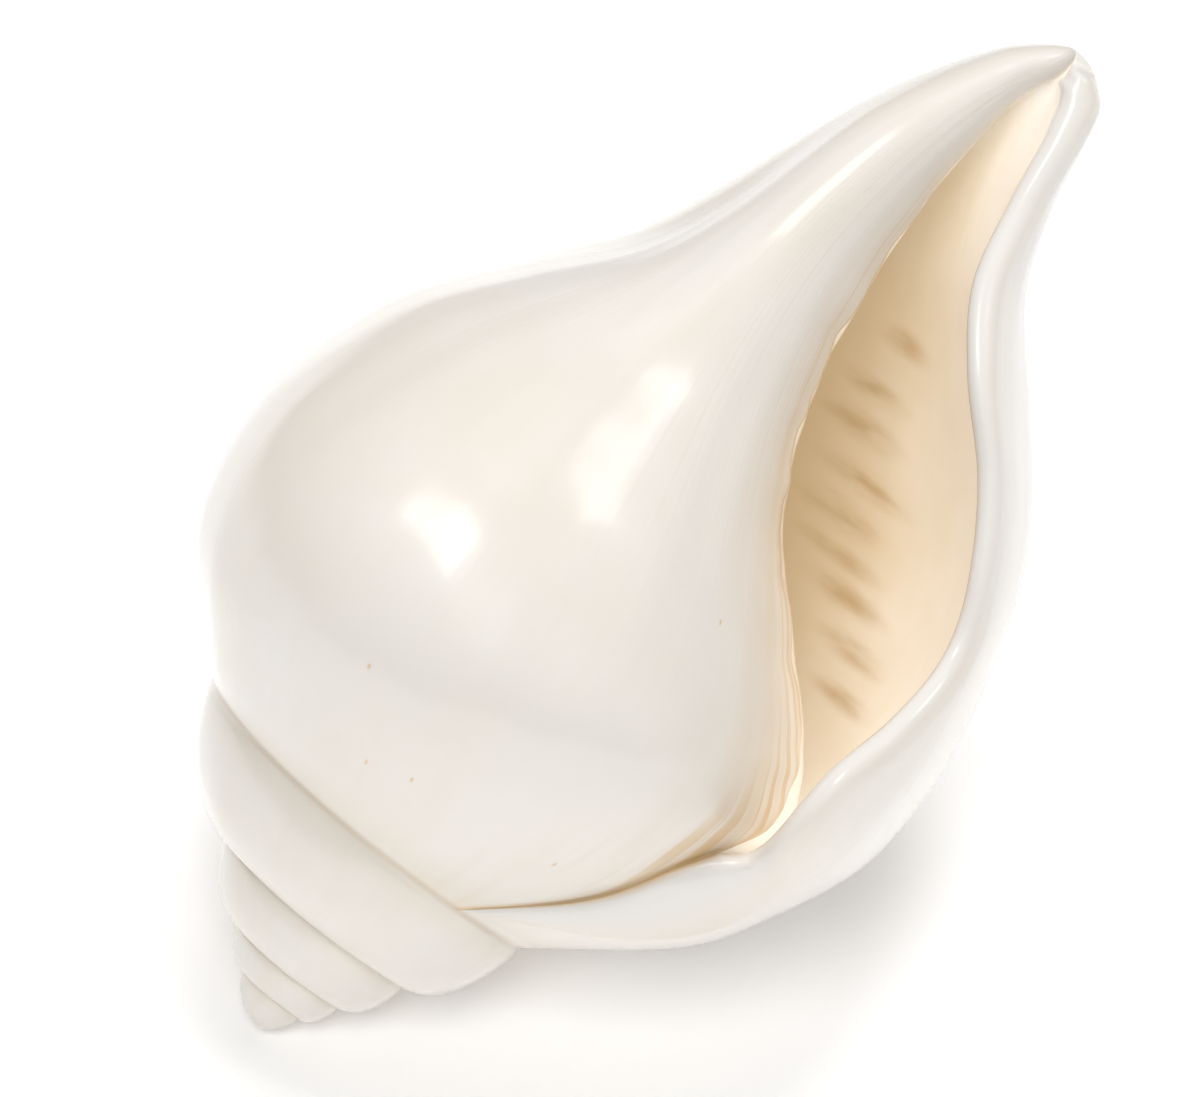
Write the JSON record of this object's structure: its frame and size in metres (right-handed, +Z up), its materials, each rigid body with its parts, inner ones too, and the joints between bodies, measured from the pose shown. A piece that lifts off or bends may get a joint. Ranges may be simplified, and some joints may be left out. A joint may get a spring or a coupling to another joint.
{
  "type": "conch shell",
  "caption": "Polished left-handed conch shell with a stepped spire, a round body turn, a long canal and a wide open mouth with a rounded lip.",
  "frame": {"origin": "centre of the bounding box in X and Y, on the floor the shell lies on", "axes": "+Z up, +X the way the canal points as seen from above, the mouth opens up and towards -Y"},
  "size_m": [0.1186, 0.095, 0.0974],
  "materials": {
    "shell": null
  },
  "bodies": {
    "root": {"shell": "shell"}
  },
  "joints": []
}
